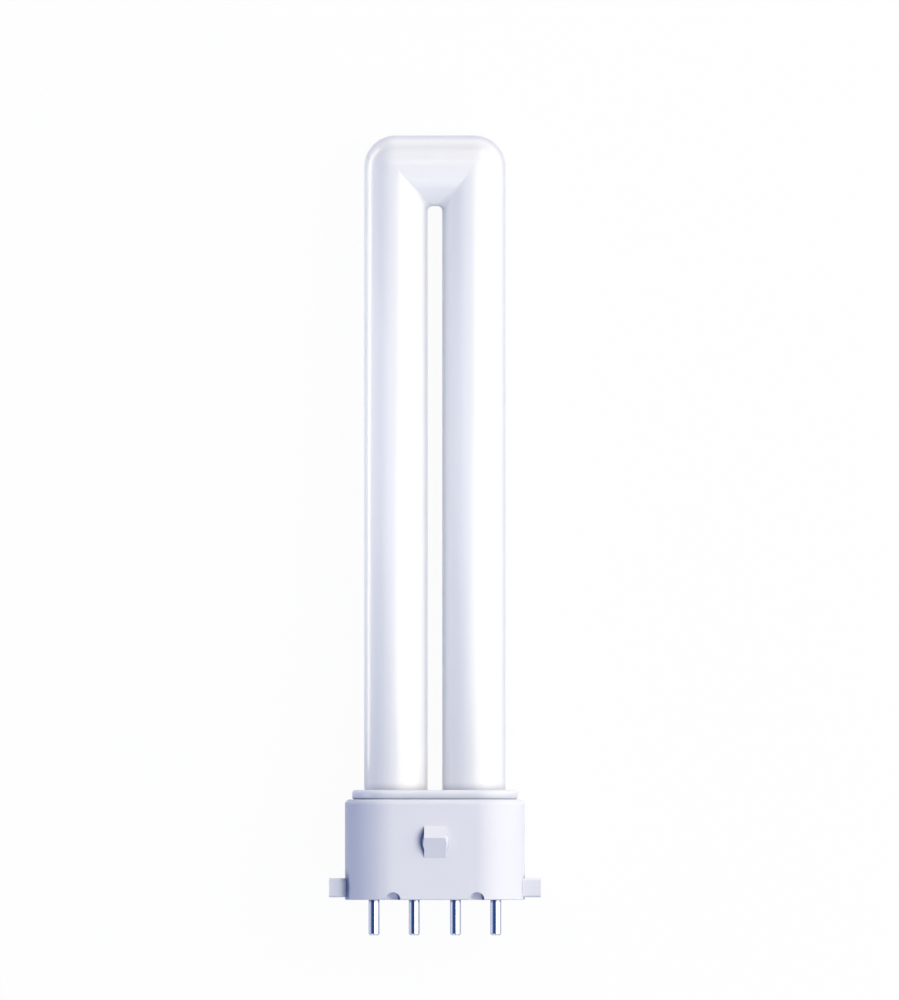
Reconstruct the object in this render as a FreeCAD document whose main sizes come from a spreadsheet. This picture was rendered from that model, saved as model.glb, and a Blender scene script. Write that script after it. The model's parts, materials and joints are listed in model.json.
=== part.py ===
import FreeCAD, Part
import math
import os

import Sketcher

# A compact fluorescent lamp: one glass tube bent into a square U, cemented into a
# plastic cap that has four contact pins in a row.
#
# Every piece is drawn with the lamp upright: the underside of the cap is z = 0, the
# pins point down, the bend is at the top and the wide front face looks along -Y.
# The Placement of each piece then lays the lamp on its back, as it comes to rest:
# the catch on the back face and the end of the glass touch the floor at z = 0, and
# the glass points along +Y.

SIZES = [
    ("lamp_length", 144.5, "underside of the cap to the end of the glass"),
    ("tube_diameter", 12.0, "outside of the glass tube"),
    ("glass_wall", 1.0, "thickness of the glass"),
    ("tube_gap", 2.75, "slot between the two legs"),
    ("cross_sag", 1.4, "how much further the cross tube reaches down than a round one"),
    ("slot_round", 0.85, "round in the corners at the closed end of the slot"),
    ("crease_reach", 5.6, "how far from the middle the round in a crease runs"),
    ("seal_taper", 2.5, "length over which a leg is pressed flat at its foot"),
    ("seal_flat", 1.5, "length of the flat pinch seal"),
    ("seal_width", 11.4, "width of the flat pinch seal"),
    ("seal_thickness", 3.2, "thickness of the flat pinch seal"),
    ("exhaust_radius", 1.2, "sealed-off exhaust tip under one leg"),
    ("exhaust_length", 1.8, "how far the exhaust tip hangs below the seal"),
    ("end_shift", 0.625, "centre of the cap's round ends, outward from the leg's axis"),
    ("cement_gap", 0.3, "cement between the glass and its socket"),
    ("cement_recess", 0.8, "depth of the cement below the collar's top"),
    ("socket_wall", 0.8, "wall of the holder beside a socket"),
    ("socket_chamfer", 0.2, "lead-in at the mouth of a socket"),
    ("spigot_depth", 6.5, "how far the holder reaches into the cap"),
    ("spigot_clearance", 0.1, "running room between the holder and the cap"),
    ("collar_rise", 1.8, "height of the holder's collar"),
    ("collar_inset", 1.35, "step from the cap's wall in to the collar"),
    ("collar_round", 0.65, "round on the collar's top edge"),
    ("collar_chamfer", 0.3, "chamfer along the parting line"),
    ("cap_height", 19.0, "height of the cap's wall"),
    ("cap_wall", 1.8, "thickness of the cap's wall"),
    ("cap_floor", 1.6, "thickness of the cap's floor"),
    ("cap_top_round", 1.0, "round on the cap's top edge"),
    ("cap_foot_chamfer", 0.15, "chamfer on the cap's bottom edge"),
    ("boss_radius", 2.3, "boss round each pin inside the cap"),
    ("boss_rise", 1.0, "height of a boss above the floor"),
    ("lug_reach", 3.0, "how far a side lug stands out"),
    ("lug_root", 1.2, "how deep a side lug is rooted in the wall"),
    ("lug_tall", 3.6, "height of a side lug"),
    ("lug_wide", 5.0, "size of a side lug front to back"),
    ("lug_foot", 0.5, "underside of the cap to the lug"),
    ("lug_round", 0.4, "rounds along a lug"),
    ("catch_out", 1.6, "how far the catch stands out of the face"),
    ("catch_wide", 4.1, "width of the catch's ridge"),
    ("catch_foot", 7.9, "underside of the cap to the catch's lower edge"),
    ("catch_ramp", 3.8, "lower edge of the catch to its ridge"),
    ("catch_back", 2.3, "ridge of the catch to its upper edge"),
    ("catch_flank", 0.7, "how much wider the catch is at its root, each side"),
    ("notch_radius", 1.45, "half-round notch in the bottom edge"),
    ("notch_spacing", 15.9, "centre distance of the notches"),
    ("outer_pin_spacing", 23.0, "centre distance of the outer pins"),
    ("inner_pin_spacing", 7.8, "centre distance of the inner pins"),
    ("pin_radius", 1.05, "contact pin below the cap"),
    ("pin_length", 6.7, "contact pin below the cap"),
    ("pin_chamfer", 0.3, "chamfer at the pin's tip"),
    ("press_radius", 1.3, "knurled root of a pin, pressed through the floor"),
    ("head_radius", 1.8, "head of a pin inside the cap"),
    ("head_thickness", 0.5, "head of a pin inside the cap"),
    ("wire_radius", 0.25, "lead wire"),
    ("wire_grip", 1.2, "length of wire held in the seal and in the pin"),
    ("wire_clearance", 0.05, "room round a wire in its pin"),
    ("wire_spacing", 4.4, "centre distance of the two wires of one seal"),
    ("wire_room", 4.4, "free height between the pins' heads and the seals"),
    ("wire_stub", 0.5, "straight length of wire at either end of its slope"),
    ("wire_bend", 0.8, "bend radius of a wire, on its axis"),
]

# Sizes that follow from the sheet, written as expressions on its cells.
TUBE_R = "(sizes.tube_diameter / 2)"
LEG_X = "((sizes.tube_diameter + sizes.tube_gap) / 2)"
CROSS_Z = f"(sizes.lamp_length - {TUBE_R})"
SLOT_TOP = f"({CROSS_Z} - {TUBE_R} - sizes.cross_sag)"
SOCKET_R = f"({TUBE_R} + sizes.cement_gap)"
SPIGOT_R = f"({SOCKET_R} + sizes.socket_wall)"
CAVITY_R = f"({SPIGOT_R} + sizes.spigot_clearance)"
CAP_R = f"({CAVITY_R} + sizes.cap_wall)"
COLLAR_R = f"({CAP_R} - sizes.collar_inset)"
END_X = f"({LEG_X} + sizes.end_shift)"
COLLAR_TOP = "(sizes.cap_height + sizes.collar_rise)"
SPIGOT_FOOT = "(sizes.cap_height - sizes.spigot_depth)"
BOSS_TOP = "(sizes.cap_floor + sizes.boss_rise)"
HEAD_TOP = f"({BOSS_TOP} + sizes.head_thickness)"
SEAL_FOOT = f"({HEAD_TOP} + sizes.wire_room)"
SEAL_TOP = f"({SEAL_FOOT} + sizes.seal_flat)"
LEG_FOOT = f"({SEAL_TOP} + sizes.seal_taper)"
CATCH_RIDGE = "(sizes.catch_foot + sizes.catch_ramp)"
CATCH_TOP = f"({CATCH_RIDGE} + sizes.catch_back)"

doc = FreeCAD.newDocument("twin_tube_lamp")


def make_sheet():
    """The spreadsheet that drives the model: name, size in mm, meaning."""
    sheet = doc.addObject("Spreadsheet::Sheet", "sizes")
    for row, (alias, size, meaning) in enumerate(SIZES, start=1):
        sheet.set(f"A{row}", alias)
        sheet.set(f"B{row}", str(size))
        sheet.setAlias(f"B{row}", alias)
        sheet.set(f"C{row}", meaning)
    doc.recompute()
    return sheet


def value(expression):
    """The present value of an expression on the sheet, in mm."""
    return float(sheet.evalExpression(expression))


def bind(item, **expressions):
    """Tie properties to the sheet; a double underscore stands for a dot."""
    for key, expression in expressions.items():
        item.setExpression(key.replace("__", "."), expression)
    return item


# Sketches and features of the plastic, metal and cement pieces


def new_body(label):
    body = doc.addObject("PartDesign::Body", label)
    body.Label = label
    return body


def new_sketch(body, name, role, height=None):
    """A sketch on one of the body's own origin planes, raised by height."""
    plane = next(item for item in body.Origin.OriginFeatures if item.Role == role)
    sketch = body.newObject("Sketcher::SketchObject", name)
    sketch.AttachmentSupport = (plane, [""])
    sketch.MapMode = "FlatFace"
    if height is not None:
        sketch.setExpression(".AttachmentOffset.Base.z", height)
    return sketch


def constrain(sketch, kind, *places, size=None):
    """Add a constraint, and tie it to the sheet if it has a size."""
    if size is None:
        return sketch.addConstraint(Sketcher.Constraint(kind, *places))
    index = sketch.addConstraint(Sketcher.Constraint(kind, *places, value(size)))
    sketch.setExpression(f"Constraints[{index}]", size)
    return index


def draw_circle(sketch, x, radius):
    """A circle centred on the sketch's x axis."""
    centre = FreeCAD.Vector(value(x), 0, 0)
    circle = sketch.addGeometry(Part.Circle(centre, FreeCAD.Vector(0, 0, 1), value(radius)))
    constrain(sketch, "PointOnObject", circle, 3, -1)
    constrain(sketch, "DistanceX", -1, 1, circle, 3, size=x)
    constrain(sketch, "Radius", circle, size=radius)


def draw_stadium(sketch, end_x, radius):
    """Two half circles at x = -end_x and +end_x joined by straight lines."""
    half = value(end_x)
    bend = value(radius)
    up = FreeCAD.Vector(0, 0, 1)
    quarter = math.pi / 2
    right = Part.ArcOfCircle(Part.Circle(FreeCAD.Vector(half, 0, 0), up, bend), -quarter, quarter)
    left = Part.ArcOfCircle(
        Part.Circle(FreeCAD.Vector(-half, 0, 0), up, bend), quarter, 3 * quarter
    )
    top = Part.LineSegment(FreeCAD.Vector(half, bend, 0), FreeCAD.Vector(-half, bend, 0))
    foot = Part.LineSegment(FreeCAD.Vector(-half, -bend, 0), FreeCAD.Vector(half, -bend, 0))
    loop = [sketch.addGeometry(item) for item in (right, top, left, foot)]
    for this, following in zip(loop, loop[1:] + loop[:1]):
        constrain(sketch, "Tangent", this, 2, following, 1)
    constrain(sketch, "Symmetric", loop[0], 3, loop[2], 3, -1, 1)
    constrain(sketch, "PointOnObject", loop[0], 3, -1)
    constrain(sketch, "DistanceX", -1, 1, loop[0], 3, size=end_x)
    constrain(sketch, "Radius", loop[0], size=radius)


def draw_outline(sketch, corners):
    """A closed outline of straight lines through corners given as expressions."""
    points = [FreeCAD.Vector(value(x), value(y), 0) for x, y in corners]
    count = len(points)
    for this in range(count):
        sketch.addGeometry(Part.LineSegment(points[this], points[(this + 1) % count]))
    for this, (x, y) in enumerate(corners):
        constrain(sketch, "Coincident", this, 2, (this + 1) % count, 1)
        constrain(sketch, "DistanceX", -1, 1, this, 1, size=x)
        constrain(sketch, "DistanceY", -1, 1, this, 1, size=y)


def pad(body, name, sketch, length, side="One side", down=False):
    feature = body.newObject("PartDesign::Pad", name)
    feature.Profile = sketch
    feature.SideType = side
    feature.Reversed = down
    feature.setExpression("Length", length)
    doc.recompute()
    return feature


def pocket(body, name, sketch, length, side="One side", up=False):
    """Cut a sketch out of the body; a cut that takes nothing away is an error."""
    before = body.Shape.Volume
    feature = body.newObject("PartDesign::Pocket", name)
    feature.Profile = sketch
    feature.SideType = side
    feature.Reversed = up
    feature.setExpression("Length", length)
    doc.recompute()
    if body.Shape.Volume > before - 1e-3:
        raise RuntimeError(f"{name} cuts nothing")
    return feature


def edges_at(shape, height):
    """Names of the edges that lie wholly at one height."""
    level = value(height)
    names = []
    for index, edge in enumerate(shape.Edges, start=1):
        box = edge.BoundBox
        if abs(box.ZMin - level) < 1e-3 and abs(box.ZMax - level) < 1e-3:
            names.append(f"Edge{index}")
    return names


def dress(body, kind, name, edges, size):
    """A PartDesign Fillet or Chamfer on named edges of the body's last feature."""
    base = body.Tip
    feature = body.newObject(f"PartDesign::{kind}", name)
    feature.Base = (base, edges)
    feature.setExpression("Radius" if kind == "Fillet" else "Size", size)
    doc.recompute()
    return feature


def mirror(body, name, features, role):
    """Repeat features on the other side of one of the body's origin planes."""
    plane = next(item for item in body.Origin.OriginFeatures if item.Role == role)
    feature = body.newObject("PartDesign::Mirrored", name)
    feature.Originals = features
    feature.MirrorPlane = (plane, [""])
    body.Tip = feature
    doc.recompute()
    return feature


# The glass


def cylinder(name, x, foot, height, radius):
    part = doc.addObject("Part::Cylinder", name)
    return bind(part, Radius=radius, Height=height, Placement__Base__x=x, Placement__Base__z=foot)


def corner_ball(name, x, radius, turn):
    """The quarter sphere that carries a leg round into the cross tube."""
    ball = doc.addObject("Part::Sphere", name)
    ball.Angle1 = 0
    ball.Angle3 = 180
    ball.Placement.Rotation = FreeCAD.Rotation(FreeCAD.Vector(0, 0, 1), turn)
    return bind(ball, Radius=radius, Placement__Base__x=x, Placement__Base__z=CROSS_Z)


def cross_tube(name, inset):
    """The tube across the top: half round above its axis, half an ellipse below."""
    radius = f"({TUBE_R} - {inset})"
    drop = f"({TUBE_R} + sizes.cross_sag - {inset})"
    above = doc.addObject("Part::Cylinder", f"{name}_above")
    above.Angle = 180
    above.Placement.Rotation = FreeCAD.Rotation(FreeCAD.Vector(1, 1, 1), 120)
    bind(
        above,
        Radius=radius,
        Height=f"2 * {LEG_X}",
        Placement__Base__x=f"-{LEG_X}",
        Placement__Base__z=CROSS_Z,
    )
    oval = doc.addObject("Part::Ellipse", f"{name}_oval")
    oval.Placement.Rotation = FreeCAD.Rotation(FreeCAD.Vector(0, 1, 0), 90)
    bind(
        oval,
        MajorRadius=drop,
        MinorRadius=radius,
        Placement__Base__x=f"-{LEG_X}",
        Placement__Base__z=CROSS_Z,
    )
    bar = doc.addObject("Part::Extrusion", f"{name}_bar")
    bar.Base = oval
    bar.DirMode = "Custom"
    bar.Dir = FreeCAD.Vector(1, 0, 0)
    bar.Solid = True
    bind(bar, LengthFwd=f"2 * {LEG_X}")
    upper_half = doc.addObject("Part::Box", f"{name}_upper_half")
    bind(
        upper_half,
        Length=f"2 * {LEG_X}",
        Width="sizes.tube_diameter",
        Height=drop,
        Placement__Base__x=f"-{LEG_X}",
        Placement__Base__y=f"-{TUBE_R}",
        Placement__Base__z=CROSS_Z,
    )
    below = doc.addObject("Part::Cut", f"{name}_below")
    below.Base = bar
    below.Tool = upper_half
    return [above, below]


def bent_tube(name, foot, inset):
    """The square U from its feet up; inset makes the inside of the glass."""
    radius = f"({TUBE_R} - {inset})"
    height = f"{CROSS_Z} - {foot}"
    shapes = cross_tube(f"{name}_cross", inset)
    for side, x, turn in (("left", f"-{LEG_X}", 90), ("right", LEG_X, -90)):
        shapes.append(cylinder(f"{name}_leg_{side}", x, foot, height, radius))
        shapes.append(corner_ball(f"{name}_corner_{side}", x, radius, turn))
    return fuse(name, shapes)


def soften_slot(tube):
    """Round the two creases that run from the slot's end up over the bend.

    The middle of the bend is cut out, rounded and put back, because further out the
    legs and the cross tube run into each other and the creases fade away.
    """
    middle = doc.addObject("Part::Box", f"{tube.Name}_middle")
    bind(
        middle,
        Length=f"2 * {LEG_X}",
        Width="2 * sizes.crease_reach",
        Height=f"{CROSS_Z} - {SLOT_TOP} + sizes.cross_sag",
        Placement__Base__x=f"-{LEG_X}",
        Placement__Base__y="-sizes.crease_reach",
        Placement__Base__z=f"{SLOT_TOP} - sizes.cross_sag",
    )
    core = doc.addObject("Part::MultiCommon", f"{tube.Name}_core")
    core.Shapes = [tube, middle]
    rest = doc.addObject("Part::Cut", f"{tube.Name}_rest")
    rest.Base = tube
    rest.Tool = middle
    doc.recompute()
    radius = value("sizes.slot_round")
    creases = []
    for index, edge in enumerate(core.Shape.Edges, start=1):
        box = edge.BoundBox
        if abs(box.ZMin - value(SLOT_TOP)) < 1e-3 and box.YLength > radius:
            creases.append((index, radius, radius))
    rounded = doc.addObject("Part::Fillet", f"{tube.Name}_rounded")
    rounded.Base = core
    rounded.Edges = creases
    return fuse(f"{tube.Name}_softened", [rest, rounded])


def pinch_seal(name, x):
    """A leg's foot, pressed flat round the two lead wires."""
    rim = doc.addObject("Part::Circle", f"{name}_round")
    sections = [bind(rim, Radius=TUBE_R, Placement__Base__x=x, Placement__Base__z=LEG_FOOT)]
    for level, z in (("top", SEAL_TOP), ("foot", SEAL_FOOT)):
        section = doc.addObject("Part::Ellipse", f"{name}_{level}")
        bind(
            section,
            MajorRadius="sizes.seal_width / 2",
            MinorRadius="sizes.seal_thickness / 2",
            Placement__Base__x=x,
            Placement__Base__z=z,
        )
        sections.append(section)
    seal = doc.addObject("Part::Loft", name)
    seal.Sections = sections
    seal.Solid = True
    seal.Ruled = True
    return seal


def exhaust_tip(name, x):
    """The sealed-off end of the tube that the lamp was filled through."""
    radius = "sizes.exhaust_radius"
    foot = f"({SEAL_FOOT} - sizes.exhaust_length + {radius})"
    stem = cylinder(f"{name}_stem", x, foot, f"{SEAL_TOP} - {foot}", radius)
    ball = doc.addObject("Part::Sphere", f"{name}_ball")
    bind(ball, Radius=radius, Placement__Base__x=x, Placement__Base__z=foot)
    return [stem, ball]


def fuse(name, shapes):
    part = doc.addObject("Part::MultiFuse", name)
    part.Shapes = shapes
    part.Refine = True
    return part


def discharge_tube():
    """One glass tube: two straight legs, the square bend, and the pinched feet."""
    outside = [soften_slot(bent_tube("outside", LEG_FOOT, "0"))]
    outside.append(pinch_seal("seal_left", f"-{LEG_X}"))
    outside.append(pinch_seal("seal_right", LEG_X))
    outside += exhaust_tip("exhaust", LEG_X)
    hollow = bent_tube("inside", f"({LEG_FOOT} + sizes.glass_wall)", "sizes.glass_wall")
    holes = []
    for number, (seal_x, _) in enumerate(WIRES, start=1):
        hole = cylinder(
            f"wire_hole_{number}", seal_x, SEAL_FOOT, "sizes.wire_grip", "sizes.wire_radius"
        )
        holes.append(hole)
    glass = doc.addObject("Part::Cut", "discharge_tube")
    glass.Base = fuse("glass_outside", outside)
    glass.Tool = fuse("glass_inside", [hollow] + holes)
    glass.Label = "discharge_tube"
    return glass


# The cap


def tube_holder():
    """The plug that closes the cap: a collar, a spigot and two sockets for the legs."""
    body = new_body("tube_holder")
    collar = new_sketch(body, "collar_outline", "XY_Plane", "sizes.cap_height")
    draw_stadium(collar, END_X, COLLAR_R)
    rise = pad(body, "collar", collar, "sizes.collar_rise")
    dress(body, "Fillet", "collar_round", edges_at(rise.Shape, COLLAR_TOP), "sizes.collar_round")
    foot = edges_at(body.Shape, "sizes.cap_height")
    dress(body, "Chamfer", "parting_chamfer", foot, "sizes.collar_chamfer")
    spigot = new_sketch(body, "spigot_outline", "XY_Plane", "sizes.cap_height")
    draw_stadium(spigot, END_X, SPIGOT_R)
    pad(body, "spigot", spigot, "sizes.spigot_depth", down=True)
    sockets = new_sketch(body, "socket_circles", "XY_Plane", COLLAR_TOP)
    draw_circle(sockets, f"-{LEG_X}", SOCKET_R)
    draw_circle(sockets, LEG_X, SOCKET_R)
    pocket(body, "sockets", sockets, f"{COLLAR_TOP} - {SPIGOT_FOOT}")
    mouths = []
    for index, edge in enumerate(body.Shape.Edges, start=1):
        round_edge = isinstance(edge.Curve, Part.Circle)
        if round_edge and abs(edge.Curve.Radius - value(SOCKET_R)) < 1e-4:
            if abs(edge.BoundBox.ZMin - value(COLLAR_TOP)) < 1e-3:
                mouths.append(f"Edge{index}")
    dress(body, "Chamfer", "socket_mouths", mouths, "sizes.socket_chamfer")
    return body


def base_housing():
    """The moulded cap: a stadium cup with lugs, catches, notches and pin bosses."""
    body = new_body("base_housing")
    outline = new_sketch(body, "cap_outline", "XY_Plane")
    draw_stadium(outline, END_X, CAP_R)
    block = pad(body, "cap_block", outline, "sizes.cap_height")
    top = edges_at(block.Shape, "sizes.cap_height")
    dress(body, "Fillet", "cap_top_round", top, "sizes.cap_top_round")
    foot = edges_at(body.Shape, "0")
    dress(body, "Chamfer", "cap_foot_chamfer", foot, "sizes.cap_foot_chamfer")
    cavity = new_sketch(body, "cavity_outline", "XY_Plane", "sizes.cap_height")
    draw_stadium(cavity, END_X, CAVITY_R)
    pocket(body, "cavity", cavity, "sizes.cap_height - sizes.cap_floor")
    bosses = new_sketch(body, "boss_circles", "XY_Plane", "sizes.cap_floor")
    for x in PIN_PLACES:
        draw_circle(bosses, x, "sizes.boss_radius")
    pad(body, "pin_bosses", bosses, "sizes.boss_rise")
    holes = new_sketch(body, "pin_hole_circles", "XY_Plane")
    for x in PIN_PLACES:
        draw_circle(holes, x, "sizes.press_radius")
    pocket(body, "pin_holes", holes, BOSS_TOP, up=True)
    side_lugs(body)
    catches(body)
    notches(body)
    return body


def side_lugs(body):
    """A square lug low on each round end, that guides the lamp into its holder."""
    root = f"{END_X} + {CAP_R} - sizes.lug_root"
    tip = f"{END_X} + {CAP_R} + sizes.lug_reach"
    top = "sizes.lug_foot + sizes.lug_tall"
    outline = new_sketch(body, "lug_outline", "XZ_Plane")
    corners = [(root, "sizes.lug_foot"), (tip, "sizes.lug_foot"), (tip, top), (root, top)]
    draw_outline(outline, corners)
    lug = pad(body, "lug", outline, "sizes.lug_wide", side="Symmetric")
    edges = []
    for index, edge in enumerate(lug.Shape.Edges, start=1):
        box = edge.BoundBox
        along = box.XLength > value("sizes.lug_reach") / 2
        flat = box.YLength < 1e-6 and box.ZLength < 1e-6
        if along and flat and box.XMax > value(tip) - 1e-3:
            edges.append(f"Edge{index}")
    rounds = dress(body, "Fillet", "lug_rounds", edges, "sizes.lug_round")
    mirror(body, "second_lug", [lug, rounds], "YZ_Plane")


def catches(body):
    """The snap catch on each wide face: a wedge on a round, tapering root."""
    wall = f"-{CAP_R}"
    out = f"(-{CAP_R} - sizes.catch_out)"
    middle = f"(sizes.catch_foot + {CATCH_TOP}) / 2"
    root_wide = "(sizes.catch_wide + 2 * sizes.catch_flank)"
    root = body.newObject("PartDesign::AdditiveCone", "catch_root")
    plane = next(item for item in body.Origin.OriginFeatures if item.Role == "XZ_Plane")
    root.AttachmentSupport = (plane, [""])
    root.MapMode = "FlatFace"
    bind(
        root,
        Radius1=f"{root_wide} / 2",
        Radius2="sizes.catch_wide / 2",
        Height="sizes.catch_out",
        AttachmentOffset__Base__y=middle,
        AttachmentOffset__Base__z=CAP_R,
    )
    doc.recompute()
    # What the trim takes off reaches past the cone on every side by this much.
    spare = "sizes.catch_out"
    waste = new_sketch(body, "catch_waste", "YZ_Plane")
    below = f"({middle} - {root_wide} / 2 - {spare})"
    above = f"({middle} + {root_wide} / 2 + {spare})"
    beyond = f"({out} - {spare})"
    corners = [
        (wall, below),
        (wall, "sizes.catch_foot"),
        (out, CATCH_RIDGE),
        (wall, CATCH_TOP),
        (wall, above),
        (beyond, above),
        (beyond, below),
    ]
    draw_outline(waste, corners)
    trim = pocket(body, "catch_trim", waste, f"{root_wide} + 2 * {spare}", side="Symmetric")
    wedge = new_sketch(body, "catch_wedge", "YZ_Plane")
    draw_outline(wedge, [(wall, "sizes.catch_foot"), (out, CATCH_RIDGE), (wall, CATCH_TOP)])
    ridge = pad(body, "catch_ridge", wedge, "sizes.catch_wide", side="Symmetric")
    mirror(body, "back_catch", [root, trim, ridge], "XZ_Plane")


def notches(body):
    """Half-round finger notches in the bottom edge, two on each wide face."""
    plane = next(item for item in body.Origin.OriginFeatures if item.Role == "XY_Plane")
    for face, y in (("front", f"-{CAP_R}"), ("back", CAP_R)):
        for side, sign in (("left", "-"), ("right", "")):
            before = body.Shape.Volume
            ball = body.newObject("PartDesign::SubtractiveSphere", f"notch_{face}_{side}")
            ball.AttachmentSupport = (plane, [""])
            ball.MapMode = "FlatFace"
            bind(
                ball,
                Radius="sizes.notch_radius",
                AttachmentOffset__Base__x=f"{sign}sizes.notch_spacing / 2",
                AttachmentOffset__Base__y=y,
            )
            doc.recompute()
            if body.Shape.Volume > before - 1e-3:
                raise RuntimeError(f"{ball.Name} cuts nothing")


def socket_cement(label, x):
    """The ring of cement between a leg and its socket."""
    body = new_body(label)
    top = f"({COLLAR_TOP} - sizes.cement_recess)"
    rings = new_sketch(body, f"{label}_circles", "XY_Plane", SPIGOT_FOOT)
    draw_circle(rings, x, SOCKET_R)
    draw_circle(rings, x, TUBE_R)
    pad(body, f"{label}_ring", rings, f"{top} - {SPIGOT_FOOT}")
    return body


# The contacts


def contact_pin(label, x):
    """A turned pin: chamfered shank, press-fit root, head and a bore for its wire."""
    body = new_body(label)
    profile = new_sketch(body, f"{label}_profile", "XZ_Plane")
    bore = "(sizes.wire_radius + sizes.wire_clearance)"
    bore_foot = f"({HEAD_TOP} - sizes.wire_grip)"
    tip = "(-sizes.pin_length)"
    corners = [
        ("0", tip),
        ("sizes.pin_radius - sizes.pin_chamfer", tip),
        ("sizes.pin_radius", f"{tip} + sizes.pin_chamfer"),
        ("sizes.pin_radius", "0"),
        ("sizes.press_radius", "0"),
        ("sizes.press_radius", BOSS_TOP),
        ("sizes.head_radius", BOSS_TOP),
        ("sizes.head_radius", HEAD_TOP),
        (bore, HEAD_TOP),
        (bore, bore_foot),
        ("0", bore_foot),
    ]
    draw_outline(profile, corners)
    turned = body.newObject("PartDesign::Revolution", f"{label}_turned")
    turned.Profile = profile
    turned.ReferenceAxis = (profile, ["V_Axis"])
    turned.Angle = 360
    doc.recompute()
    body.Placement.Base.x = value(x)
    return body


def lead_wire(label, seal_x, pin_x):
    """A nickel wire from the pinch seal, sloping across, down into its pin."""
    body = new_body(label)
    foot = f"({HEAD_TOP} - sizes.wire_grip)"
    slope_foot = f"({HEAD_TOP} + sizes.wire_stub)"
    slope_top = f"({SEAL_FOOT} - sizes.wire_stub)"
    top = f"({SEAL_FOOT} + sizes.wire_grip)"

    # The slope is the line that touches both bend circles, one from either side.
    radius = value("sizes.wire_bend")
    start_x = value(seal_x)
    end_x = value(pin_x)
    toward = math.copysign(1, end_x - start_x)
    across = abs(end_x - start_x) - 2 * radius
    rise = value(slope_top) - value(slope_foot)
    lean = math.atan2(across, rise) + math.asin(2 * radius / math.hypot(across, rise))
    upper_centre = FreeCAD.Vector(start_x + toward * radius, value(slope_top), 0)
    lower_centre = FreeCAD.Vector(end_x - toward * radius, value(slope_foot), 0)

    def spoke(angle):
        """From a bend's centre to its arc, at an angle from the arc's vertical end."""
        return FreeCAD.Vector(toward * math.cos(angle), math.sin(angle), 0) * radius

    upper_points = [upper_centre - spoke(angle) for angle in (0, lean / 2, lean)]
    lower_points = [lower_centre + spoke(angle) for angle in (lean, lean / 2, 0)]
    wire_top = FreeCAD.Vector(start_x, value(top), 0)
    wire_foot = FreeCAD.Vector(end_x, value(foot), 0)

    path = new_sketch(body, f"{label}_path", "XZ_Plane")
    first = path.addGeometry(Part.LineSegment(wire_top, upper_points[0]))
    upper = path.addGeometry(Part.Arc(*upper_points))
    slope = path.addGeometry(Part.LineSegment(upper_points[-1], lower_points[0]))
    lower = path.addGeometry(Part.Arc(*lower_points))
    last = path.addGeometry(Part.LineSegment(lower_points[-1], wire_foot))
    # An arc's own start and end run counter-clockwise, so which end comes first
    # along the wire depends on the side that the wire bends to.
    upper_in, upper_out = (1, 2) if toward > 0 else (2, 1)
    lower_in, lower_out = (2, 1) if toward > 0 else (1, 2)
    constrain(path, "Tangent", first, 2, upper, upper_in)
    constrain(path, "Tangent", upper, upper_out, slope, 1)
    constrain(path, "Tangent", slope, 2, lower, lower_in)
    constrain(path, "Tangent", lower, lower_out, last, 1)
    constrain(path, "Vertical", first)
    constrain(path, "Vertical", last)
    constrain(path, "Radius", upper, size="sizes.wire_bend")
    constrain(path, "Radius", lower, size="sizes.wire_bend")
    constrain(path, "DistanceX", -1, 1, first, 1, size=seal_x)
    constrain(path, "DistanceY", -1, 1, first, 1, size=top)
    constrain(path, "DistanceY", -1, 1, first, 2, size=slope_top)
    constrain(path, "DistanceX", -1, 1, last, 2, size=pin_x)
    constrain(path, "DistanceY", -1, 1, last, 2, size=foot)
    constrain(path, "DistanceY", -1, 1, last, 1, size=slope_foot)

    section = new_sketch(body, f"{label}_section", "XY_Plane", top)
    draw_circle(section, seal_x, "sizes.wire_radius")
    wire = body.newObject("PartDesign::AdditivePipe", f"{label}_pipe")
    wire.Profile = section
    wire.Spine = path
    doc.recompute()
    return body


def resting_pose():
    """The lamp on its back, on the ridge of the back catch and the end of the glass.

    In the side view the floor touches the ridge's corner and the half round of the
    cross tube, so ridge_out * cos(tilt) - lever * sin(tilt) = radius.
    """
    radius = value(TUBE_R)
    ridge_out = value(f"{CAP_R} + sizes.catch_out")
    ridge_z = value(CATCH_RIDGE)
    cross_z = value(CROSS_Z)
    lever = cross_z - ridge_z
    tilt = math.acos(radius / math.hypot(ridge_out, lever)) - math.atan2(lever, ridge_out)
    turn = FreeCAD.Rotation(FreeCAD.Vector(1, 0, 0), -90 - math.degrees(tilt))
    lift = ridge_out * math.cos(tilt) + ridge_z * math.sin(tilt)
    end = cross_z * math.cos(tilt) + radius
    tip_flat = value("sizes.pin_radius - sizes.pin_chamfer")
    start = -value("sizes.pin_length") * math.cos(tilt) - tip_flat * math.sin(tilt)
    return FreeCAD.Placement(FreeCAD.Vector(0, -(start + end) / 2, lift), turn)


def check(parts):
    """Stop if any object failed to build or any piece isn't one sound solid."""
    for item in doc.Objects:
        if "Invalid" in item.State or "Error" in item.State:
            raise RuntimeError(f"{item.Name} failed: {item.State}")
    for part in parts:
        shape = part.Shape
        if shape.isNull() or not shape.isValid() or len(shape.Solids) != 1:
            raise RuntimeError(f"{part.Label} isn't one valid solid")


PIN_PLACES = [
    "-sizes.outer_pin_spacing / 2",
    "-sizes.inner_pin_spacing / 2",
    "sizes.inner_pin_spacing / 2",
    "sizes.outer_pin_spacing / 2",
]
# Each wire's x in its seal and in its pin, from left to right.
WIRES = [
    (f"-{LEG_X} - sizes.wire_spacing / 2", PIN_PLACES[0]),
    (f"-{LEG_X} + sizes.wire_spacing / 2", PIN_PLACES[1]),
    (f"{LEG_X} - sizes.wire_spacing / 2", PIN_PLACES[2]),
    (f"{LEG_X} + sizes.wire_spacing / 2", PIN_PLACES[3]),
]

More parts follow.
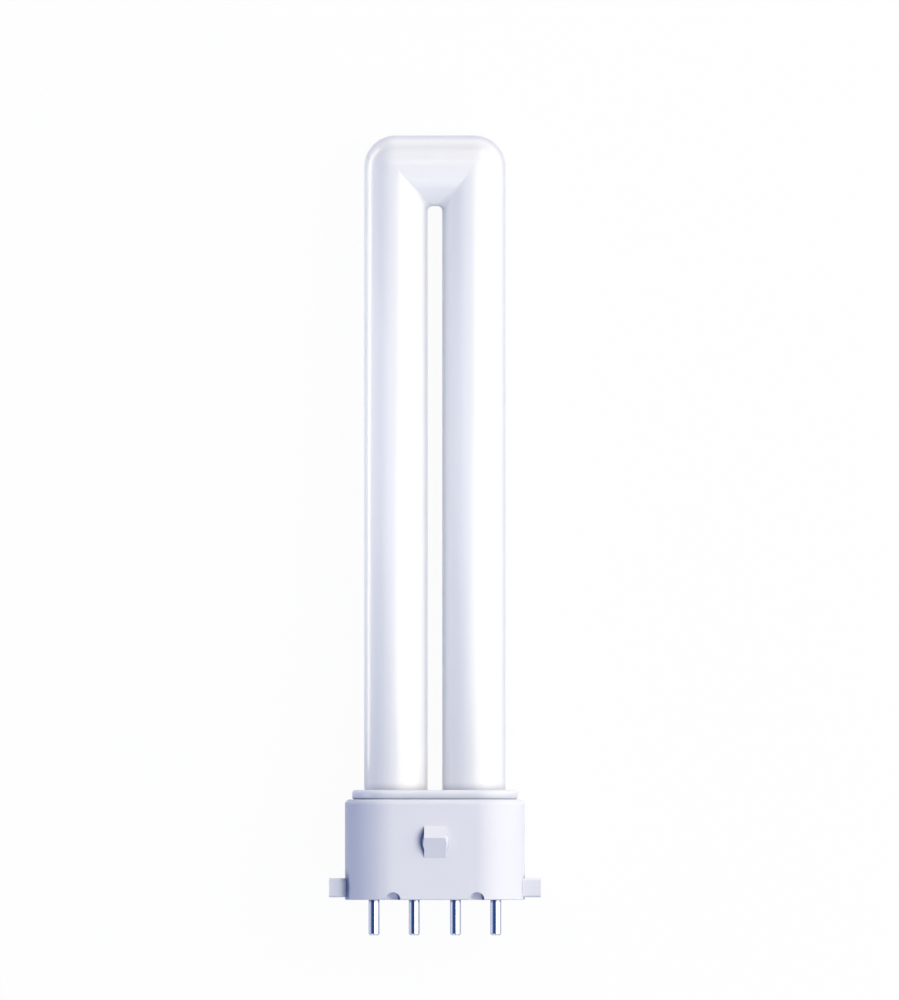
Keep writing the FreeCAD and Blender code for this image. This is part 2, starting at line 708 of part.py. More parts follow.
sheet = make_sheet()
parts = [
    discharge_tube(),
    tube_holder(),
    base_housing(),
    socket_cement("socket_cement_left", f"-{LEG_X}"),
    socket_cement("socket_cement_right", LEG_X),
]
for number, place in enumerate(PIN_PLACES, start=1):
    parts.append(contact_pin(f"contact_pin_{number}", place))
for number, (seal_x, pin_x) in enumerate(WIRES, start=1):
    parts.append(lead_wire(f"lead_wire_{number}", seal_x, pin_x))
doc.recompute()

pose = resting_pose()
for part in parts:
    part.Placement = pose.multiply(part.Placement)
doc.recompute()
check(parts)

os.makedirs("parts", exist_ok=True)
for part in parts:
    part.Shape.exportStep(f"parts/{part.Label}.step")
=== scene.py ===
# %% [markdown]
# # A twin-tube fluorescent lamp
#
# The lamp lies on its back on a pale table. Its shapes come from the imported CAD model,
# which is loaded as a fixed frame: every solid is already in place and at its real
# size. What is left for Blender is how the lamp looks: milky glass, satin plastic and
# bright pins, under the light of a small product studio.

# %% Load the frame
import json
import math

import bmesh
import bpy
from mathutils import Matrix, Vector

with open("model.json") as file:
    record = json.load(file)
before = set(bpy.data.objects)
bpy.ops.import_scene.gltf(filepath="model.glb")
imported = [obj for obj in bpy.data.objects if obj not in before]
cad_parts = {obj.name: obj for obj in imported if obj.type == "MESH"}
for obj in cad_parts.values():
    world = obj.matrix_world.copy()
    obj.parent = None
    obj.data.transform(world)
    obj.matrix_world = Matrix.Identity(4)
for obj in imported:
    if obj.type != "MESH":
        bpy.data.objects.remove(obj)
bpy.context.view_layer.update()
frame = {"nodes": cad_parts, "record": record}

# %% [markdown]
# ## The lamp's own axes
#
# The lamp rests on a catch at one end and on the glass at the other, so it leans a
# little and none of its own directions is quite a frame axis. The record says which
# way a contact pin points. The other two directions follow from that one, so nothing
# here has to repeat the angle.

MM = 0.001
nodes = frame["nodes"]
mounts = {mount["name"]: mount for mount in frame["record"]["mounts"]}
lamp_up = -Vector(mounts["contact_pin_1"]["axis"]).normalized()
lamp_right = Vector((1, 0, 0))
lamp_front = lamp_right.cross(lamp_up)
cap_underside = Vector(mounts["cap_seat"]["pos_m"])


def lamp_point(right, up, front):
    """A place given in millimetres along the lamp's own directions."""
    return cap_underside + (lamp_right * right + lamp_up * up + lamp_front * front) * MM


lean = math.degrees(math.asin(-lamp_up.z))
print("the lamp leans", round(lean, 2), "degrees from level,", len(nodes), "solids")

# %% [markdown]
# ## The camera
#
# The photograph shows the lamp square on and without any perspective: the lower edge
# of the round cap is a straight line. A camera that far away has nearly parallel rays,
# so this one is orthographic and looks along the lamp's front normal. One pixel of the
# picture is a known length on the lamp, which gives the height of the view.

# %% Place the camera
PICTURE_WIDE, PICTURE_HIGH = 899, 1000
MM_PER_PIXEL = 0.1890
LAMP_AXIS_PIXEL = 434.9
UNDERSIDE_PIXEL = 899.9
CAMERA_DISTANCE = 1.0

aim = lamp_point(
    (PICTURE_WIDE / 2 - LAMP_AXIS_PIXEL) * MM_PER_PIXEL,
    (UNDERSIDE_PIXEL - PICTURE_HIGH / 2) * MM_PER_PIXEL,
    0,
)
camera = bpy.data.objects.new("camera", bpy.data.cameras.new("camera"))
bpy.context.scene.collection.objects.link(camera)
bpy.context.scene.camera = camera
turned_to_lamp = Matrix((lamp_right, lamp_up, lamp_front)).transposed().to_4x4()
camera.matrix_world = Matrix.Translation(aim + lamp_front * CAMERA_DISTANCE) @ turned_to_lamp
camera.data.type = "ORTHO"
camera.data.ortho_scale = PICTURE_HIGH * MM_PER_PIXEL * MM
print("the view is", round(camera.data.ortho_scale / MM, 1), "mm high")

# %% [markdown]
# ## Node helpers
#
# A material is a graph of small steps. A few short helpers keep each graph readable:
# one adds a node with its settings, one sets several inputs of a node at once, from a
# plain value or from another node's output, and one starts an empty material.

# %% Helpers for node graphs
def feed(tree, node, **inputs):
    """Set inputs, named with underscores for spaces, to values or to other sockets."""
    for name, source in inputs.items():
        key = int(name[1:]) if name.startswith("_") else name.replace("_", " ")
        socket = node.inputs[key]
        if isinstance(source, bpy.types.NodeSocket):
            tree.links.new(source, socket)
        else:
            socket.default_value = source


def add_node(tree, kind, settings=None, **inputs):
    """A new node with its settings and inputs; an input's number is written _0, _1."""
    node = tree.nodes.new("ShaderNode" + kind)
    for name, setting in (settings or {}).items():
        setattr(node, name, setting)
    feed(tree, node, **inputs)
    return node


def blend_colours(tree, factor, first, second):
    """The output of a node that mixes two colours."""
    node = add_node(tree, "Mix", {"data_type": "RGBA"}, _0=factor, _6=first, _7=second)
    return node.outputs[2]


def calculate(tree, operation, first, second):
    """The output of a node that does one sum."""
    return add_node(tree, "Math", {"operation": operation}, _0=first, _1=second).outputs[0]


def new_material(name):
    """An empty material; returns it with its node tree and its output node."""
    material = bpy.data.materials.new(name)
    material.use_nodes = True
    tree = material.node_tree
    tree.nodes.clear()
    return material, tree, tree.nodes.new("ShaderNodeOutputMaterial")


# %% [markdown]
# ## The table
#
# The photograph has a pure white ground. A table lit to pure white would flood the
# lamp with light from below, so the table throws a cooler and darker light on the lamp
# than it shows to the camera. The camera, and the rays that glass and metal reflect or
# let through, see mostly plain white. A small share of the real shading is kept, which
# leaves the lamp a very faint shadow.

# %% Make the table
TABLE_HALF = 3.0
SHADOW_SHARE = 0.045
TABLE_WHITE = (1.0, 1.0, 1.0, 1)
TABLE_BOUNCE = (0.48, 0.52, 0.72, 1)

sheet = bmesh.new()
bmesh.ops.create_grid(sheet, x_segments=1, y_segments=1, size=TABLE_HALF)
table_mesh = bpy.data.meshes.new("table")
sheet.to_mesh(table_mesh)
sheet.free()
table = bpy.data.objects.new("table", table_mesh)
bpy.context.scene.collection.objects.link(table)

material, tree, output = new_material("table_white")
ray = add_node(tree, "LightPath").outputs
colour = blend_colours(tree, ray["Is Camera Ray"], TABLE_BOUNCE, TABLE_WHITE)
shaded = add_node(tree, "BsdfDiffuse", Color=colour)
plain = add_node(tree, "Emission", Color=TABLE_WHITE, Strength=1)
mirrored = calculate(tree, "MAXIMUM", ray["Is Glossy Ray"], ray["Is Transmission Ray"])
seen = calculate(tree, "MAXIMUM", ray["Is Camera Ray"], mirrored)
share = calculate(tree, "MULTIPLY", seen, 1 - SHADOW_SHARE)
mixed = add_node(tree, "MixShader", _0=share, _1=shaded.outputs[0], _2=plain.outputs[0])
feed(tree, output, Surface=mixed.outputs[0])
table_mesh.materials.append(material)
print("table", 2 * TABLE_HALF, "m wide, keeps", SHADOW_SHARE, "of its shading")

# %% [markdown]
# ## The room
#
# Bright metal shows the room more than itself. The pins in the photograph have a dark
# blue stripe left of their middle, pale lavender beyond it and white at the right. So
# the room is dark blue overhead and some way down to the left, where the camera and its
# operator are, its left wall is lavender and its right side is white. Two colour ramps
# run from the table's level up to the zenith, one for each side, and the two are mixed
# across the room. The white side starts far to the right, so that the room lights the
# lamp from one side. Only a narrow strip of it reaches in over the middle of the lamp,
# where the pins mirror it. The wall beyond the bend is pale above and dark below, and
# the edge between them sets off the bright lines there. A camera that looks along the
# table sees none of this: for camera rays the room is plain white, as the table is.

# %% Paint the room
LEFT_WALL = [
    (0.00, (0.56, 0.61, 0.79, 1)),
    (0.08, (0.44, 0.50, 0.70, 1)),
    (0.40, (0.37, 0.43, 0.63, 1)),
    (0.48, (0.28, 0.33, 0.53, 1)),
    (0.56, (0.03, 0.07, 0.21, 1)),
]
RIGHT_WALL = [
    (0.00, (0.46, 0.51, 0.66, 1)),
    (0.15, (0.56, 0.59, 0.70, 1)),
    (0.30, (0.74, 0.74, 0.78, 1)),
    (0.80, (0.80, 0.80, 0.83, 1)),
    (0.94, (0.72, 0.74, 0.80, 1)),
]
FAR_WALL = [
    (0.33, (0.04, 0.06, 0.14, 1)),
    (0.42, (0.98, 0.98, 1.00, 1)),
    (0.76, (0.70, 0.72, 0.80, 1)),
]
WHITE_FROM, WHITE_TO = 0.42, 0.58
STRIP_FROM, STRIP_TO = 0.26, 0.38
STRIP_HALF, STRIP_EDGE = 0.18, 0.30
FAR_FROM, FAR_TO = 0.45, 0.70

world = bpy.data.worlds.new("studio")
bpy.context.scene.world = world
world.use_nodes = True
tree = world.node_tree
background = next(node for node in tree.nodes if node.type == "BACKGROUND")
direction = add_node(tree, "TexCoord").outputs["Generated"]
part = add_node(tree, "SeparateXYZ", Vector=direction).outputs
walls = []
for colours in (LEFT_WALL, RIGHT_WALL, FAR_WALL):
    ramp = add_node(tree, "ValToRGB", Fac=part["Z"])
    stops = ramp.color_ramp.elements
    while len(stops) < len(colours):
        stops.new(1)
    for stop, (place, colour) in zip(stops, colours):
        stop.position = place
        stop.color = colour
    walls.append(ramp.outputs["Color"])
side = add_node(tree, "MapRange", Value=part["X"], From_Min=WHITE_FROM, From_Max=WHITE_TO)
inner = add_node(tree, "MapRange", Value=part["X"], From_Min=STRIP_FROM, From_Max=STRIP_TO)
off_middle = add_node(tree, "Math", {"operation": "ABSOLUTE"}, _0=part["Y"]).outputs[0]
strip = add_node(tree, "MapRange", Value=off_middle, From_Min=STRIP_EDGE, From_Max=STRIP_HALF)
reaching_in = calculate(tree, "MULTIPLY", inner.outputs[0], strip.outputs[0])
white = calculate(tree, "MAXIMUM", side.outputs[0], reaching_in)
around = blend_colours(tree, white, walls[0], walls[1])
far = add_node(tree, "MapRange", Value=part["Y"], From_Min=FAR_FROM, From_Max=FAR_TO)
room = blend_colours(tree, far.outputs[0], around, walls[2])
to_camera = add_node(tree, "LightPath").outputs["Is Camera Ray"]
feed(tree, background, Color=blend_colours(tree, to_camera, room, TABLE_WHITE), Strength=1)
print("room painted with", len(walls), "walls")

# %% [markdown]
# ## The studio lamps
#
# Two large soft boxes at the right give the light side and the bright stripe on each
# leg of the glass. A third one, higher up, lights what faces the bend, and a low one
# lights the cap from the side of the pins. All four stand off to the right, because
# the bend is a cylinder that lies across the lamp and would mirror a box over the
# middle as a bright line. One narrow box stands there on purpose: the photograph has
# just such a line. Each box is described by where it is seen from the lamp and by how
# bright its face is, where 1 is as bright as a white page.

# %% Hang the soft boxes
BOX_DISTANCE = 1.3


def soft_box(name, right_angle, up_angle, wide, high, radiance):
    """A rectangular lamp, turned to the lamp from an angle to the right and upwards."""
    right, up = math.radians(right_angle), math.radians(up_angle)
    toward = lamp_up * math.sin(up) + math.cos(up) * (
        lamp_right * math.sin(right) + lamp_front * math.cos(right)
    )
    return place_box(name, aim + toward * BOX_DISTANCE, toward, wide, high, radiance)


def place_box(name, place, toward, wide, high, radiance):
    """A rectangular lamp at a place, whose back is turned toward a direction."""
    light = bpy.data.lights.new(name, "AREA")
    light.shape = "RECTANGLE"
    light.size, light.size_y = wide, high
    brightest = max(radiance)
    light.color = [part / brightest for part in radiance]
    light.energy = brightest * math.pi * wide * high
    box = bpy.data.objects.new(name, light)
    box.rotation_euler = toward.to_track_quat("Z", "Y").to_euler()
    box.location = place
    box.visible_camera = False
    bpy.context.scene.collection.objects.link(box)
    return box


# Name, degrees to the right, degrees up, metres wide, metres high, brightness of the face.
STUDIO_BOXES = [
    ("key", 31, 10, 0.40, 1.40, (2.10, 1.93, 1.52)),
    ("side_key", 58, 10, 0.80, 1.40, (1.68, 1.60, 1.27)),
    ("high_key", 50, 48, 0.60, 0.60, (2.05, 1.82, 1.30)),
    ("bend_line", 0, 23, 1.20, 0.32, (1.60, 1.60, 1.60)),
    ("low_fill", 34, -38, 0.80, 0.40, (2.00, 2.00, 2.06)),
]
for row in STUDIO_BOXES:
    box = soft_box(*row)
    print(box.name, round(box.data.energy, 2), "W")

# %% [markdown]
# ## White cards beside the glass
#
# Along the outer edge of the left leg and over the bend the photograph has a narrow
# bright band: something white stands close beside the glass, just above the table.
# Two slim cards of light do the same here. They would also light the cap and the pins,
# which are darker on this side. Light linking names the objects that a lamp may light,
# so the cards are given the glass alone.

# %% Stand the cards beside the glass
LEG_AXIS = -7.375
GLASS_TOP = 144.5
TUBE_RADIUS = 6.0
CARD_GAP = 22.0
CARD_FOOT = 0.3
LEG_MIDDLE = 95
LEFT_CARD_LONG, LEFT_CARD_HIGH = 140, 6.7
TOP_CARD_LONG, TOP_CARD_HIGH = 24, 7.0

glass_only = bpy.data.collections.new("glass_only")
glass_only.objects.link(nodes["discharge_tube"])


def card(name, right, up, facing, long, high, radiance):
    """A slim card of light that stands on the table and faces the glass."""
    place = lamp_point(right, up, 0)
    place.z = (CARD_FOOT + high / 2) * MM
    box = place_box(name, place, -facing, long * MM, high * MM, radiance)
    level = Vector((facing.x, facing.y, 0)).normalized()
    across = level.cross(Vector((0, 0, 1)))
    box.rotation_euler = Matrix((across, Vector((0, 0, 1)), -level)).transposed().to_euler()
    box.light_linking.receiver_collection = glass_only
    return box


left_of_glass = LEG_AXIS - CARD_GAP
past_the_bend = GLASS_TOP - TUBE_RADIUS + CARD_GAP
card(
    "left_card", left_of_glass, LEG_MIDDLE, lamp_right,
    LEFT_CARD_LONG, LEFT_CARD_HIGH, (3.00, 2.80, 2.10),
)
card(
    "top_card", 0, past_the_bend, -lamp_up,
    TOP_CARD_LONG, TOP_CARD_HIGH, (0.85, 0.82, 0.76),
)

# %% [markdown]
# ## Fills close to the lamp
#
# The powder inside the tube passes light round to its dark side, so in the photograph
# the glass is never as dark there as the plastic. Scattering inside the wall would
# show it, but three small boxes close to the glass do the same at no cost in time.
# They too light the glass alone. The plastic gets a bluish box far to the left and one
# high beyond the bend, which the bright metal and the glass must not mirror. The holder
# stands in the light that comes off the glass, so its left end is paler than the cap's,
# and one more box on that side lights it alone.

# %% Place the fills
def near_box(name, place, target, wide, high, radiance):
    """A small soft box close to the lamp, turned to a point on it."""
    spot = lamp_point(*place)
    toward = (spot - lamp_point(*target)).normalized()
    box = place_box(name, spot, toward, wide, high, radiance)
    box.light_linking.receiver_collection = glass_only
    return box


# Name, its place and its target in millimetres on the lamp, metres wide and high, brightness.
GLASS_FILLS = [
    ("side_fill", (-75, 90, 45), (0, 90, 0), 0.05, 0.15, (0.52, 0.51, 0.48)),
    ("leg_fill", (-30, 90, 125), (0, 90, 0), 0.10, 0.16, (0.36, 0.37, 0.40)),
    ("bend_fill", (0, 60, 115), (0, 130, 0), 0.05, 0.06, (1.00, 0.98, 0.85)),
]
for row in GLASS_FILLS:
    near_box(*row)

plastic_only = bpy.data.collections.new("plastic_only")
plastic_only.objects.link(nodes["base_housing"])
plastic_only.objects.link(nodes["tube_holder"])
holder_only = bpy.data.collections.new("holder_only")
holder_only.objects.link(nodes["tube_holder"])

# What it lights, and then the same columns as the studio boxes.
PLASTIC_FILLS = [
    (plastic_only, "cap_fill", -75, 0, 0.40, 0.40, (1.15, 1.33, 1.76)),
    (plastic_only, "cap_top", 0, 68, 0.50, 0.40, (2.90, 2.85, 2.75)),
    (holder_only, "holder_fill", -80, 0, 0.40, 0.40, (5.20, 5.20, 5.30)),
]
for receivers, *row in PLASTIC_FILLS:
    soft_box(*row).light_linking.receiver_collection = receivers
print(len(GLASS_FILLS), "fills for the glass,", len(PLASTIC_FILLS), "for the plastics")

# %% [markdown]
# ## Effects that several finishes share
#
# Nothing real has quite one colour. Four node groups carry what several finishes have
# in common. The first makes soft clouds, for coatings and mouldings that are a touch
# thicker here than there. The second is the fine grain that a spark-eroded mould
# leaves on plastic. The third is for painted shade: it finds tight corners and the steep
# faces that look away from the light, and the finishes paint them a deep blue there. The
# fourth makes the rings or lines that turning and drawing leave on metal, as a noise that
# only changes along one direction. A group gives out only masks and heights, and each
# material decides what to do with them.

# %% A helper for node groups
def new_group(name, inputs, outputs):
    """An empty shader node group with float or vector sockets."""
    group = bpy.data.node_groups.new(name, "ShaderNodeTree")
    for socket, start in inputs.items():
        kind = "NodeSocketVector" if start is None else "NodeSocketFloat"
        made = group.interface.new_socket(socket, in_out="INPUT", socket_type=kind)
        if start is not None:
            made.default_value = start
    for socket in outputs:
        group.interface.new_socket(socket, in_out="OUTPUT", socket_type="NodeSocketFloat")
    start = group.nodes.new("NodeGroupInput").outputs
    return group, start, group.nodes.new("NodeGroupOutput")


def vector_sum(tree, operation, first, second=None):
    """The node that does one sum with vectors."""
    node = add_node(tree, "VectorMath", {"operation": operation}, _0=first)
    if second is not None:
        feed(tree, node, _1=second)
    return node


def ramp_between(tree, value, start, end):
    """The output of a node that rises from 0 to 1 as a value goes from start to end."""
    return add_node(tree, "MapRange", Value=value, From_Min=start, From_Max=end).outputs[0]


# %% [markdown]
# The clouds are a noise texture, spread about its middle value. The mould grain is a
# soft Voronoi pattern, whose round cells are like the craters that the sparks leave,
# with a finer noise mixed in. It also gives out the pits alone, which are a little
# duller than the rest.

# %% Build the clouds and the mould grain
HALF = 0.5
CELL_SOFTNESS, FINER, FINE_SHARE = 0.6, 2.3, 0.45
PIT_FROM, PIT_TO = 0.35, 0.75

clouds, given, result = new_group(
    "soft_clouds", {"Position": None, "Scale": 80.0, "Contrast": 1.0}, ["Cloud"]
)
where, size = given["Position"], given["Scale"]
noise = add_node(clouds, "TexNoise", Vector=where, Scale=size, Detail=3, Roughness=0.55)
centred = calculate(clouds, "SUBTRACT", noise.outputs[0], HALF)
spread = calculate(clouds, "MULTIPLY", centred, given["Contrast"])
cloud = add_node(clouds, "Math", {"operation": "ADD", "use_clamp": True}, _0=spread, _1=HALF)
feed(clouds, result, Cloud=cloud.outputs[0])

mould, given, result = new_group(
    "mould_grain", {"Position": None, "Scale": 2400.0}, ["Grain", "Pits"]
)
where, size = given["Position"], given["Scale"]
cells = add_node(
    mould, "TexVoronoi", {"feature": "SMOOTH_F1"},
    Vector=where, Scale=size, Smoothness=CELL_SOFTNESS,
)
finer = calculate(mould, "MULTIPLY", size, FINER)
noise = add_node(mould, "TexNoise", Vector=where, Scale=finer, Detail=2)
grain = add_node(
    mould, "Mix", {"data_type": "FLOAT"},
    _0=FINE_SHARE, _2=cells.outputs["Distance"], _3=noise.outputs[0],
)
pits = add_node(
    mould, "MapRange", {"interpolation_type": "SMOOTHSTEP"},
    Value=cells.outputs["Distance"], From_Min=PIT_FROM, From_Max=PIT_TO,
)
feed(mould, result, Grain=grain.outputs[0], Pits=pits.outputs[0])
print("groups:", [group.name for group in bpy.data.node_groups])

# %% [markdown]
# The corner shade is a mask for painting shade into a colour. It asks the Ambient
# Occlusion node how much of the space round a point is free, within a short reach. The
# directions it tries lean towards the light, so a corner on the far side of a lug counts
# as more closed than one on the near side. On a flat face some of the leaned directions
# dip into the face itself, and the answer is divided by what such a face would give. The
# second half of the group finds steep faces that look away from the light and stand close
# to another face, as the left flank of the catch does, and paints shade there too. It
# leaves out the faces that look straight away from the light. Where a lean is given it is
# fixed, so this painted shade stays on that side under any other light.

# %% Build the corner shade
DIRECTIONS = 12
CLOSED_FROM, CLOSED_TO = 0.90, 0.40
AWAY_FROM, AWAY_TO = -0.25, -0.5
STRAIGHT_FROM, STRAIGHT_TO = -0.95, -0.75
NEAR_FROM, NEAR_TO = 0.99, 0.90

corner, given, result = new_group(
    "corner_shade", {"Lean": None, "Reach": 0.0015, "Depth": 1.0}, ["Shade"]
)
facing = add_node(corner, "NewGeometry").outputs["Normal"]
leaned = vector_sum(corner, "ADD", facing, given["Lean"])
toward = vector_sum(corner, "NORMALIZE", leaned.outputs[0])
cosine = vector_sum(corner, "DOT_PRODUCT", facing, toward.outputs[0]).outputs["Value"]
on_flat = add_node(corner, "Math", {"operation": "MULTIPLY_ADD"}, _0=cosine, _1=HALF, _2=HALF)
free = add_node(
    corner, "AmbientOcclusion", {"samples": DIRECTIONS},
    Distance=given["Reach"], Normal=toward.outputs[0],
)
free_share = calculate(corner, "DIVIDE", free.outputs["AO"], on_flat.outputs[0])
closed = ramp_between(corner, free_share, CLOSED_FROM, CLOSED_TO)

light_side = vector_sum(corner, "NORMALIZE", given["Lean"])
cosine = vector_sum(corner, "DOT_PRODUCT", facing, light_side.outputs[0]).outputs["Value"]
away = ramp_between(corner, cosine, AWAY_FROM, AWAY_TO)
not_straight = ramp_between(corner, cosine, STRAIGHT_FROM, STRAIGHT_TO)
around = add_node(
    corner, "AmbientOcclusion", {"samples": DIRECTIONS}, Distance=given["Reach"]
)
near = ramp_between(corner, around.outputs["AO"], NEAR_FROM, NEAR_TO)
behind = calculate(corner, "MULTIPLY", away, near)
behind = calculate(corner, "MULTIPLY", behind, not_straight)
darkest = calculate(corner, "MAXIMUM", closed, behind)
feed(corner, result, Shade=calculate(corner, "MULTIPLY", darkest, given["Depth"]))
print(corner.name, "has", len(corner.nodes), "nodes")

# %% [markdown]
# The tool lines are a noise with one dimension only: the place on the piece, measured
# along the way in which the tool moved. Two last helpers put a group into a material
# and darken a colour with the corner shade.

# %% Build the tool lines and two helpers for materials
lines, given, result = new_group(
    "tool_lines", {"Position": None, "Along": None, "Lines per metre": 9000.0}, ["Lines"]
)
height = vector_sum(lines, "DOT_PRODUCT", given["Position"], given["Along"])
noise = add_node(
    lines, "TexNoise", {"noise_dimensions": "1D"},
    W=height.outputs["Value"], Scale=given["Lines per metre"], Detail=2,
)
feed(lines, result, Lines=noise.outputs[0])
print(lines.name, "has", len(lines.nodes), "nodes")


def place_group(tree, group, **inputs):
    """A group placed in a material; one that takes a position gets the piece's own."""
    node = add_node(tree, "Group", {"node_tree": group})
    if "Position" in node.inputs:
        inputs["Position"] = add_node(tree, "TexCoord").outputs["Object"]
    feed(tree, node, **inputs)
    return node.outputs


# The deep blue of the painted shade in corners and on faces turned from the light.
DEEP_SHADE = (0.035, 0.085, 0.25, 1)


def shade_corners(tree, colour, lean, reach, depth):
    """A colour with painted shade: deep blue in tight corners, on the side away from lean."""
    shade = place_group(tree, corner, Lean=lean, Reach=reach, Depth=depth)["Shade"]
    return blend_colours(tree, shade, colour, DEEP_SHADE)


# %% [markdown]
# ## Milky glass
#
# The tube is clear glass, coated inside with white powder. So its colour is nearly
# white and soft, and over it lies a thin, clear, smooth layer that throws the
# reflections, with edges a little softened by the wavy glass. The Principled shader
# has all of it: a white base with a powdery sheen, which scatters light more evenly
# than a flat paint does, and a clear coat. At the rim one looks through the edge of
# the clear wall; that darker, bluer look is painted shade, put into the colour where
# Layer Weight finds the surface turning away. Tight corners, as at the foot of each
# leg, get painted shade as well. Soft clouds make the powder a touch uneven.

# %% Mix the glass
THIN_POWDER, THICK_POWDER = (0.835, 0.844, 0.880, 1), (0.855, 0.862, 0.893, 1)
# The next colour is painted shade: the darker, bluer colour painted on the rim of the glass.
PAINTED_RIM_SHADE = (0.34, 0.40, 0.60, 1)
PAINTED_RIM_FROM, PAINTED_RIM_TO = 0.44, 0.77
NO_LEAN = (0, 0, 0)

milky_glass, tree, output = new_material("milky_glass")
cloud = place_group(tree, clouds, Scale=70.0, Contrast=1.6)["Cloud"]
powder = blend_colours(tree, cloud, THIN_POWDER, THICK_POWDER)
turned = add_node(tree, "LayerWeight", Blend=0.5).outputs["Facing"]
painted_rim = add_node(
    tree, "MapRange", {"interpolation_type": "SMOOTHSTEP"},
    Value=turned, From_Min=PAINTED_RIM_FROM, From_Max=PAINTED_RIM_TO,
)
# The powder colour with the painted rim shade mixed in.
coated = blend_colours(tree, painted_rim.outputs[0], powder, PAINTED_RIM_SHADE)
speckle = place_group(tree, mould, Scale=3800.0)["Grain"]
bump = add_node(tree, "Bump", Strength=0.1, Distance=0.02 * MM, Height=speckle)
surface = add_node(
    tree,
    "BsdfPrincipled",
    # Painted shade: tight corners of the glass, as at the foot of each leg, turn deep blue.
    Base_Color=shade_corners(tree, coated, NO_LEAN, reach=1.9 * MM, depth=0.8),
    Roughness=add_node(tree, "MapRange", Value=cloud, To_Min=0.34, To_Max=0.44).outputs[0],
    Sheen_Weight=0.8,
    Sheen_Roughness=1.0,
    Coat_Weight=1.0,
    Coat_Roughness=0.16,
    Coat_IOR=1.7,
    Normal=bump.outputs[0],
)
feed(tree, output, Surface=surface.outputs[0])
print(milky_glass.name, "has", len(tree.nodes), "nodes")

# %% [markdown]
# ## Moulded plastic
#
# The holder and the cap are moulded in a pale, slightly bluish plastic. A mould that
# was spark-eroded leaves a grain of about a tenth of a millimetre: too fine to see as
# dots from afar, but it is what turns a hard gloss into a satin one. The same function
# makes both plastics, with a cooler and rougher one for the cap. Both get painted shade
# in tight corners, deep blue on the side away from a fixed lean: to the right and front
# for the cap, downwards for the holder.

# %% Mix the plastics
GLOSS_SPREAD = 0.05
PIT_MATTNESS = 0.10


def moulded_plastic(name, dark, light, rough, grain_depth, lean, reach, depth):
    """A satin plastic; the colour and the gloss wander a little between two values, and tight
    corners get painted shade.
    """
    material, tree, output = new_material(name)
    cloud = place_group(tree, clouds, Scale=110.0, Contrast=1.5)["Cloud"]
    grain = place_group(tree, mould, Scale=2400.0)
    bump = add_node(tree, "Bump", Strength=0.5, Distance=grain_depth, Height=grain["Grain"])
    gloss = add_node(
        tree, "MapRange", Value=cloud, To_Min=rough - GLOSS_SPREAD, To_Max=rough + GLOSS_SPREAD
    )
    matt = calculate(tree, "MULTIPLY", grain["Pits"], PIT_MATTNESS)
    surface = add_node(
        tree,
        "BsdfPrincipled",
        # Painted shade: the colour turns deep blue in tight corners, away from lean.
        Base_Color=shade_corners(
            tree, blend_colours(tree, cloud, dark, light), lean, reach, depth
        ),
        Roughness=calculate(tree, "ADD", gloss.outputs[0], matt),
        Normal=bump.outputs[0],
    )
    feed(tree, output, Surface=surface.outputs[0])
    print(name, "has", len(tree.nodes), "nodes")
    return material


cap_plastic = moulded_plastic(
    "cap_moulding",
    dark=(0.805, 0.820, 0.893, 1),
    light=(0.832, 0.845, 0.910, 1),
    rough=0.40,
    grain_depth=0.02 * MM,
    lean=lamp_right * 1.5 + lamp_front * 0.5,
    reach=2.1 * MM,
    depth=1.0,
)
holder_plastic = moulded_plastic(
    "holder_moulding",
    dark=(0.820, 0.835, 0.890, 1),
    light=(0.850, 0.863, 0.910, 1),
    rough=0.34,
    grain_depth=0.012 * MM,
    lean=lamp_up * -1.2,
    reach=1.7 * MM,
    depth=0.28,
)

# %% [markdown]
# ## Bright pins and dull wires
#
# The pins are turned from brass and plated with nickel. Turning leaves fine rings
# round the pin, which stretch every reflection a little along it. Near its two edges a
# pin turns away and mirrors the white table, which would make it fade into the ground.
# So the edges get a painted reflection: where Layer Weight finds the metal turning
# away, its colour is made darker and bluer, as if it mirrored a lavender surround. The
# wires from the glass are drawn nickel-iron, greyer and rougher, with the same painted
# edges. Both read the same group of lines, and each sets how many lines there are and
# how deep they go. Tight corners at the roots of the metal get painted shade.

# %% Mix the metals
# The next colour is a painted reflection: the darker, bluer colour painted on the edges of pins
# and wires.
PAINTED_EDGE_REFLECTION = (0.36, 0.41, 0.60, 1)
PAINTED_EDGE_FROM, PAINTED_EDGE_TO = 0.24, 0.56


def worked_metal(name, dark, light, shiny, dull, per_metre, depth):
    """A metal with tool lines that run round the lamp's long direction, a painted reflection at
    its edges and painted shade in its corners.
    """
    material, tree, output = new_material(name)
    cloud = place_group(tree, clouds, Scale=900.0, Contrast=2.0)["Cloud"]
    marks = place_group(tree, lines, Along=lamp_up, Lines_per_metre=per_metre)["Lines"]
    bump = add_node(tree, "Bump", Strength=0.4, Distance=depth, Height=marks)
    turned = add_node(tree, "LayerWeight", Blend=0.5).outputs["Facing"]
    # Where the metal turns away, its colour takes the painted reflection.
    painted_edge = ramp_between(tree, turned, PAINTED_EDGE_FROM, PAINTED_EDGE_TO)
    metal = blend_colours(tree, cloud, dark, light)
    metal = blend_colours(tree, painted_edge, metal, PAINTED_EDGE_REFLECTION)
    surface = add_node(
        tree,
        "BsdfPrincipled",
        # Painted shade: tight corners of the metal, as at the pins' roots, turn deep blue.
        Base_Color=shade_corners(tree, metal, NO_LEAN, reach=0.9 * MM, depth=1.0),
        Metallic=1.0,
        Roughness=add_node(tree, "MapRange", Value=cloud, To_Min=shiny, To_Max=dull).outputs[0],
        Normal=bump.outputs[0],
    )
    feed(tree, output, Surface=surface.outputs[0])
    print(name, "has", len(tree.nodes), "nodes")
    return material


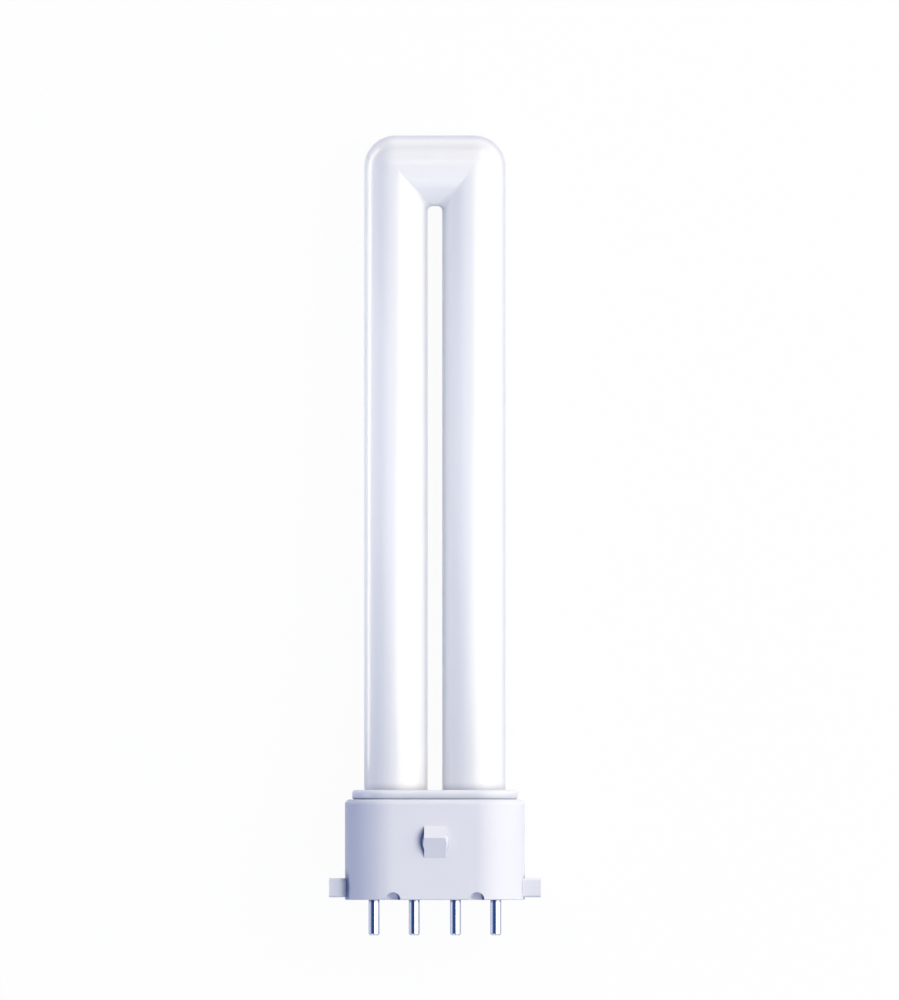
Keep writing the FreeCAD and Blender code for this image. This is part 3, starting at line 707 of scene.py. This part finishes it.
pin_nickel = worked_metal(
    "plated_pins",
    dark=(0.84, 0.86, 0.91, 1),
    light=(0.90, 0.91, 0.95, 1),
    shiny=0.05,
    dull=0.11,
    per_metre=16000.0,
    depth=0.002 * MM,
)
wire_nickel = worked_metal(
    "drawn_wires",
    dark=(0.50, 0.48, 0.45, 1),
    light=(0.62, 0.60, 0.56, 1),
    shiny=0.28,
    dull=0.42,
    per_metre=9000.0,
    depth=0.004 * MM,
)

# %% [markdown]
# ## Cement
#
# The glass is cemented into the holder. The cement is chalky and full of tiny pits,
# so its bump is coarse and its surface has no gloss.

# %% Mix the cement
DAMP_CEMENT, DRY_CEMENT = (0.74, 0.73, 0.70, 1), (0.86, 0.85, 0.82, 1)

cement, tree, output = new_material("chalky_cement")
cloud = place_group(tree, clouds, Scale=500.0, Contrast=2.2)["Cloud"]
grain = place_group(tree, mould, Scale=1500.0)
bump = add_node(tree, "Bump", Strength=0.8, Distance=0.08 * MM, Height=grain["Pits"])
rough = add_node(tree, "MapRange", Value=grain["Pits"], To_Min=0.80, To_Max=0.95)
surface = add_node(
    tree,
    "BsdfPrincipled",
    Base_Color=blend_colours(tree, cloud, DAMP_CEMENT, DRY_CEMENT),
    Roughness=rough.outputs[0],
    Normal=bump.outputs[0],
)
feed(tree, output, Surface=surface.outputs[0])
print(cement.name, "has", len(tree.nodes), "nodes")

# %% [markdown]
# ## Give each solid its finish
#
# The record names a material slot for every solid, so the finishes are handed out by
# slot. A solid's mesh is never changed, only the material in its slot.

# %% Hand out the finishes
finishes = {
    "coated_glass": milky_glass,
    "holder_plastic": holder_plastic,
    "cap_plastic": cap_plastic,
    "pin_metal": pin_nickel,
    "wire_metal": wire_nickel,
    "cement": cement,
}
for row in frame["record"]["subparts"]:
    mesh = nodes[row["node"]].data
    mesh.materials.clear()
    mesh.materials.append(finishes[row["material_slot"]])
    print(row["node"], "is", mesh.materials[0].name)

# %% Set the view transform and finish
bpy.context.scene.view_settings.view_transform = "Standard"
